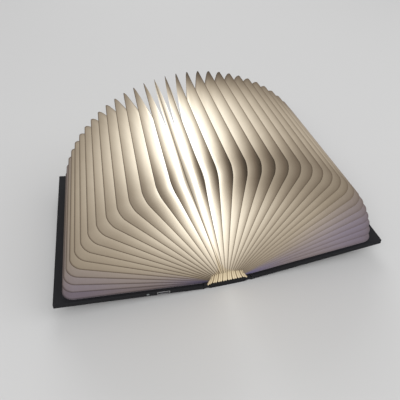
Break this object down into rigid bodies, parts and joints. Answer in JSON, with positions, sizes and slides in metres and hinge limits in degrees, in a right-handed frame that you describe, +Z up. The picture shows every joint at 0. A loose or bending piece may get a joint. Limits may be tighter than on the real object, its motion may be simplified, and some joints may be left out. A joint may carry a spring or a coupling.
{
  "type": "folding book lamp",
  "caption": "Small hardback cover that opens into a half-round fan of pleated white paper, lit from inside by a light bar on the spine.",
  "frame": {"origin": "middle of the spine's underside, on the table", "axes": "+X towards the right-hand cover, +Y along the spine away from the charging port, +Z up through the middle leaf"},
  "size_m": [0.2068, 0.118, 0.0907],
  "materials": {
    "cloth": "matte",
    "greyboard": "matte",
    "paper": "matte",
    "opal": "satin",
    "white_plastic": "satin",
    "led_resin": "satin",
    "circuit": "satin",
    "magnet": "polished",
    "port_steel": "satin",
    "screw_steel": "satin",
    "cell": "satin",
    "film": "satin",
    "clear": "polished",
    "black_plastic": "satin"
  },
  "bodies": {
    "spine": {"spine_board": "greyboard", "spine_wrap": "cloth", "left_hinge_strip": "cloth", "right_hinge_strip": "cloth", "head_root_block": "paper", "foot_root_block": "paper", "led_tray": "white_plastic", "led_board": "circuit", "led_chips": "led_resin", "led_diffuser": "opal", "tray_screws": "screw_steel", "power_lead": "film", "leaf_18": "paper"},
    "left_cover": {"left_board": "greyboard", "left_wrap": "cloth", "left_magnets": "magnet", "battery": "cell", "charge_board": "circuit", "charging_port": "port_steel", "charge_light": "clear", "reed_switch": "black_plastic", "left_end_leaf": "paper"},
    "right_cover": {"right_board": "greyboard", "right_wrap": "cloth", "right_magnets": "magnet", "right_end_leaf": "paper"},
    "left_leaf_01": {"leaf_17": "paper"},
    "left_leaf_02": {"leaf_16": "paper"},
    "left_leaf_03": {"leaf_15": "paper"},
    "left_leaf_04": {"leaf_14": "paper"},
    "left_leaf_05": {"leaf_13": "paper"},
    "left_leaf_06": {"leaf_12": "paper"},
    "left_leaf_07": {"leaf_11": "paper"},
    "left_leaf_08": {"leaf_10": "paper"},
    "left_leaf_09": {"leaf_09": "paper"},
    "left_leaf_10": {"leaf_08": "paper"},
    "left_leaf_11": {"leaf_07": "paper"},
    "left_leaf_12": {"leaf_06": "paper"},
    "left_leaf_13": {"leaf_05": "paper"},
    "left_leaf_14": {"leaf_04": "paper"},
    "left_leaf_15": {"leaf_03": "paper"},
    "left_leaf_16": {"leaf_02": "paper"},
    "left_leaf_17": {"leaf_01": "paper"},
    "right_leaf_01": {"leaf_19": "paper"},
    "right_leaf_02": {"leaf_20": "paper"},
    "right_leaf_03": {"leaf_21": "paper"},
    "right_leaf_04": {"leaf_22": "paper"},
    "right_leaf_05": {"leaf_23": "paper"},
    "right_leaf_06": {"leaf_24": "paper"},
    "right_leaf_07": {"leaf_25": "paper"},
    "right_leaf_08": {"leaf_26": "paper"},
    "right_leaf_09": {"leaf_27": "paper"},
    "right_leaf_10": {"leaf_28": "paper"},
    "right_leaf_11": {"leaf_29": "paper"},
    "right_leaf_12": {"leaf_30": "paper"},
    "right_leaf_13": {"leaf_31": "paper"},
    "right_leaf_14": {"leaf_32": "paper"},
    "right_leaf_15": {"leaf_33": "paper"},
    "right_leaf_16": {"leaf_34": "paper"},
    "right_leaf_17": {"leaf_35": "paper"}
  },
  "joints": [
    {"name": "left_cover_hinge", "type": "hinge", "parent": "spine", "child": "left_cover", "pos_m": [-0.0136, 0, 0.0018], "axis": [0, 1, 0], "range_deg": [-7, 83], "deforming": ["left_hinge_strip", "left_end_leaf", "power_lead"]},
    {"name": "right_cover_hinge", "type": "hinge", "parent": "spine", "child": "right_cover", "pos_m": [0.0136, 0, 0.0018], "axis": [0, -1, 0], "range_deg": [-7, 83], "deforming": ["right_hinge_strip", "right_end_leaf"]},
    {"name": "left_leaf_01_root", "type": "hinge", "parent": "spine", "child": "left_leaf_01", "pos_m": [-0.00065, 0, 0.00363], "axis": [0, 1, 0], "range_deg": [-0.59, 4.81], "deforming": ["leaf_17", "leaf_18"]},
    {"name": "left_leaf_02_root", "type": "hinge", "parent": "spine", "child": "left_leaf_02", "pos_m": [-0.0013, 0, 0.00363], "axis": [0, 1, 0], "range_deg": [-0.98, 9.42], "deforming": ["leaf_16"]},
    {"name": "left_leaf_03_root", "type": "hinge", "parent": "spine", "child": "left_leaf_03", "pos_m": [-0.00195, 0, 0.00363], "axis": [0, 1, 0], "range_deg": [-1.37, 14.03], "deforming": ["leaf_15"]},
    {"name": "left_leaf_04_root", "type": "hinge", "parent": "spine", "child": "left_leaf_04", "pos_m": [-0.0026, 0, 0.00363], "axis": [0, 1, 0], "range_deg": [-1.76, 18.64], "deforming": ["leaf_14"]},
    {"name": "left_leaf_05_root", "type": "hinge", "parent": "spine", "child": "left_leaf_05", "pos_m": [-0.00325, 0, 0.00363], "axis": [0, 1, 0], "range_deg": [-2.14, 23.26], "deforming": ["leaf_13"]},
    {"name": "left_leaf_06_root", "type": "hinge", "parent": "spine", "child": "left_leaf_06", "pos_m": [-0.0039, 0, 0.00363], "axis": [0, 1, 0], "range_deg": [-2.53, 27.87], "deforming": ["leaf_12"]},
    {"name": "left_leaf_07_root", "type": "hinge", "parent": "spine", "child": "left_leaf_07", "pos_m": [-0.00455, 0, 0.00363], "axis": [0, 1, 0], "range_deg": [-2.92, 32.48], "deforming": ["leaf_11"]},
    {"name": "left_leaf_08_root", "type": "hinge", "parent": "spine", "child": "left_leaf_08", "pos_m": [-0.0052, 0, 0.00363], "axis": [0, 1, 0], "range_deg": [-3.31, 37.09], "deforming": ["leaf_10"]},
    {"name": "left_leaf_09_root", "type": "hinge", "parent": "spine", "child": "left_leaf_09", "pos_m": [-0.00585, 0, 0.00363], "axis": [0, 1, 0], "range_deg": [-3.7, 41.7], "deforming": ["leaf_09"]},
    {"name": "left_leaf_10_root", "type": "hinge", "parent": "spine", "child": "left_leaf_10", "pos_m": [-0.0065, 0, 0.00363], "axis": [0, 1, 0], "range_deg": [-4.09, 46.31], "deforming": ["leaf_08"]},
    {"name": "left_leaf_11_root", "type": "hinge", "parent": "spine", "child": "left_leaf_11", "pos_m": [-0.00715, 0, 0.00363], "axis": [0, 1, 0], "range_deg": [-4.48, 50.92], "deforming": ["leaf_07"]},
    {"name": "left_leaf_12_root", "type": "hinge", "parent": "spine", "child": "left_leaf_12", "pos_m": [-0.0078, 0, 0.00363], "axis": [0, 1, 0], "range_deg": [-4.87, 55.53], "deforming": ["leaf_06"]},
    {"name": "left_leaf_13_root", "type": "hinge", "parent": "spine", "child": "left_leaf_13", "pos_m": [-0.00845, 0, 0.00363], "axis": [0, 1, 0], "range_deg": [-5.26, 60.14], "deforming": ["leaf_05"]},
    {"name": "left_leaf_14_root", "type": "hinge", "parent": "spine", "child": "left_leaf_14", "pos_m": [-0.0091, 0, 0.00363], "axis": [0, 1, 0], "range_deg": [-5.64, 64.76], "deforming": ["leaf_04"]},
    {"name": "left_leaf_15_root", "type": "hinge", "parent": "spine", "child": "left_leaf_15", "pos_m": [-0.00975, 0, 0.00363], "axis": [0, 1, 0], "range_deg": [-6.03, 69.37], "deforming": ["leaf_03"]},
    {"name": "left_leaf_16_root", "type": "hinge", "parent": "spine", "child": "left_leaf_16", "pos_m": [-0.0104, 0, 0.00363], "axis": [0, 1, 0], "range_deg": [-6.42, 73.98], "deforming": ["leaf_02"]},
    {"name": "left_leaf_17_root", "type": "hinge", "parent": "spine", "child": "left_leaf_17", "pos_m": [-0.01105, 0, 0.00363], "axis": [0, 1, 0], "range_deg": [-6.81, 78.59], "deforming": ["leaf_01"]},
    {"name": "right_leaf_01_root", "type": "hinge", "parent": "spine", "child": "right_leaf_01", "pos_m": [0.00065, 0, 0.00363], "axis": [0, -1, 0], "range_deg": [-0.59, 4.81], "deforming": ["leaf_19"]},
    {"name": "right_leaf_02_root", "type": "hinge", "parent": "spine", "child": "right_leaf_02", "pos_m": [0.0013, 0, 0.00363], "axis": [0, -1, 0], "range_deg": [-0.98, 9.42], "deforming": ["leaf_20"]},
    {"name": "right_leaf_03_root", "type": "hinge", "parent": "spine", "child": "right_leaf_03", "pos_m": [0.00195, 0, 0.00363], "axis": [0, -1, 0], "range_deg": [-1.37, 14.03], "deforming": ["leaf_21"]},
    {"name": "right_leaf_04_root", "type": "hinge", "parent": "spine", "child": "right_leaf_04", "pos_m": [0.0026, 0, 0.00363], "axis": [0, -1, 0], "range_deg": [-1.76, 18.64], "deforming": ["leaf_22"]},
    {"name": "right_leaf_05_root", "type": "hinge", "parent": "spine", "child": "right_leaf_05", "pos_m": [0.00325, 0, 0.00363], "axis": [0, -1, 0], "range_deg": [-2.14, 23.26], "deforming": ["leaf_23"]},
    {"name": "right_leaf_06_root", "type": "hinge", "parent": "spine", "child": "right_leaf_06", "pos_m": [0.0039, 0, 0.00363], "axis": [0, -1, 0], "range_deg": [-2.53, 27.87], "deforming": ["leaf_24"]},
    {"name": "right_leaf_07_root", "type": "hinge", "parent": "spine", "child": "right_leaf_07", "pos_m": [0.00455, 0, 0.00363], "axis": [0, -1, 0], "range_deg": [-2.92, 32.48], "deforming": ["leaf_25"]},
    {"name": "right_leaf_08_root", "type": "hinge", "parent": "spine", "child": "right_leaf_08", "pos_m": [0.0052, 0, 0.00363], "axis": [0, -1, 0], "range_deg": [-3.31, 37.09], "deforming": ["leaf_26"]},
    {"name": "right_leaf_09_root", "type": "hinge", "parent": "spine", "child": "right_leaf_09", "pos_m": [0.00585, 0, 0.00363], "axis": [0, -1, 0], "range_deg": [-3.7, 41.7], "deforming": ["leaf_27"]},
    {"name": "right_leaf_10_root", "type": "hinge", "parent": "spine", "child": "right_leaf_10", "pos_m": [0.0065, 0, 0.00363], "axis": [0, -1, 0], "range_deg": [-4.09, 46.31], "deforming": ["leaf_28"]},
    {"name": "right_leaf_11_root", "type": "hinge", "parent": "spine", "child": "right_leaf_11", "pos_m": [0.00715, 0, 0.00363], "axis": [0, -1, 0], "range_deg": [-4.48, 50.92], "deforming": ["leaf_29"]},
    {"name": "right_leaf_12_root", "type": "hinge", "parent": "spine", "child": "right_leaf_12", "pos_m": [0.0078, 0, 0.00363], "axis": [0, -1, 0], "range_deg": [-4.87, 55.53], "deforming": ["leaf_30"]},
    {"name": "right_leaf_13_root", "type": "hinge", "parent": "spine", "child": "right_leaf_13", "pos_m": [0.00845, 0, 0.00363], "axis": [0, -1, 0], "range_deg": [-5.26, 60.14], "deforming": ["leaf_31"]},
    {"name": "right_leaf_14_root", "type": "hinge", "parent": "spine", "child": "right_leaf_14", "pos_m": [0.0091, 0, 0.00363], "axis": [0, -1, 0], "range_deg": [-5.64, 64.76], "deforming": ["leaf_32"]},
    {"name": "right_leaf_15_root", "type": "hinge", "parent": "spine", "child": "right_leaf_15", "pos_m": [0.00975, 0, 0.00363], "axis": [0, -1, 0], "range_deg": [-6.03, 69.37], "deforming": ["leaf_33"]},
    {"name": "right_leaf_16_root", "type": "hinge", "parent": "spine", "child": "right_leaf_16", "pos_m": [0.0104, 0, 0.00363], "axis": [0, -1, 0], "range_deg": [-6.42, 73.98], "deforming": ["leaf_34"]},
    {"name": "right_leaf_17_root", "type": "hinge", "parent": "spine", "child": "right_leaf_17", "pos_m": [0.01105, 0, 0.00363], "axis": [0, -1, 0], "range_deg": [-6.81, 78.59], "deforming": ["leaf_35"]}
  ],
  "couplings": [
    {"joint": "left_leaf_01_root", "follows": "left_cover_hinge", "ratio": 0.055556},
    {"joint": "left_leaf_02_root", "follows": "left_cover_hinge", "ratio": 0.11111},
    {"joint": "left_leaf_03_root", "follows": "left_cover_hinge", "ratio": 0.16667},
    {"joint": "left_leaf_04_root", "follows": "left_cover_hinge", "ratio": 0.22222},
    {"joint": "left_leaf_05_root", "follows": "left_cover_hinge", "ratio": 0.27778},
    {"joint": "left_leaf_06_root", "follows": "left_cover_hinge", "ratio": 0.33333},
    {"joint": "left_leaf_07_root", "follows": "left_cover_hinge", "ratio": 0.38889},
    {"joint": "left_leaf_08_root", "follows": "left_cover_hinge", "ratio": 0.44444},
    {"joint": "left_leaf_09_root", "follows": "left_cover_hinge", "ratio": 0.5},
    {"joint": "left_leaf_10_root", "follows": "left_cover_hinge", "ratio": 0.55556},
    {"joint": "left_leaf_11_root", "follows": "left_cover_hinge", "ratio": 0.61111},
    {"joint": "left_leaf_12_root", "follows": "left_cover_hinge", "ratio": 0.66667},
    {"joint": "left_leaf_13_root", "follows": "left_cover_hinge", "ratio": 0.72222},
    {"joint": "left_leaf_14_root", "follows": "left_cover_hinge", "ratio": 0.77778},
    {"joint": "left_leaf_15_root", "follows": "left_cover_hinge", "ratio": 0.83333},
    {"joint": "left_leaf_16_root", "follows": "left_cover_hinge", "ratio": 0.88889},
    {"joint": "left_leaf_17_root", "follows": "left_cover_hinge", "ratio": 0.94444},
    {"joint": "right_leaf_01_root", "follows": "right_cover_hinge", "ratio": 0.055556},
    {"joint": "right_leaf_02_root", "follows": "right_cover_hinge", "ratio": 0.11111},
    {"joint": "right_leaf_03_root", "follows": "right_cover_hinge", "ratio": 0.16667},
    {"joint": "right_leaf_04_root", "follows": "right_cover_hinge", "ratio": 0.22222},
    {"joint": "right_leaf_05_root", "follows": "right_cover_hinge", "ratio": 0.27778},
    {"joint": "right_leaf_06_root", "follows": "right_cover_hinge", "ratio": 0.33333},
    {"joint": "right_leaf_07_root", "follows": "right_cover_hinge", "ratio": 0.38889},
    {"joint": "right_leaf_08_root", "follows": "right_cover_hinge", "ratio": 0.44444},
    {"joint": "right_leaf_09_root", "follows": "right_cover_hinge", "ratio": 0.5},
    {"joint": "right_leaf_10_root", "follows": "right_cover_hinge", "ratio": 0.55556},
    {"joint": "right_leaf_11_root", "follows": "right_cover_hinge", "ratio": 0.61111},
    {"joint": "right_leaf_12_root", "follows": "right_cover_hinge", "ratio": 0.66667},
    {"joint": "right_leaf_13_root", "follows": "right_cover_hinge", "ratio": 0.72222},
    {"joint": "right_leaf_14_root", "follows": "right_cover_hinge", "ratio": 0.77778},
    {"joint": "right_leaf_15_root", "follows": "right_cover_hinge", "ratio": 0.83333},
    {"joint": "right_leaf_16_root", "follows": "right_cover_hinge", "ratio": 0.88889},
    {"joint": "right_leaf_17_root", "follows": "right_cover_hinge", "ratio": 0.94444}
  ]
}
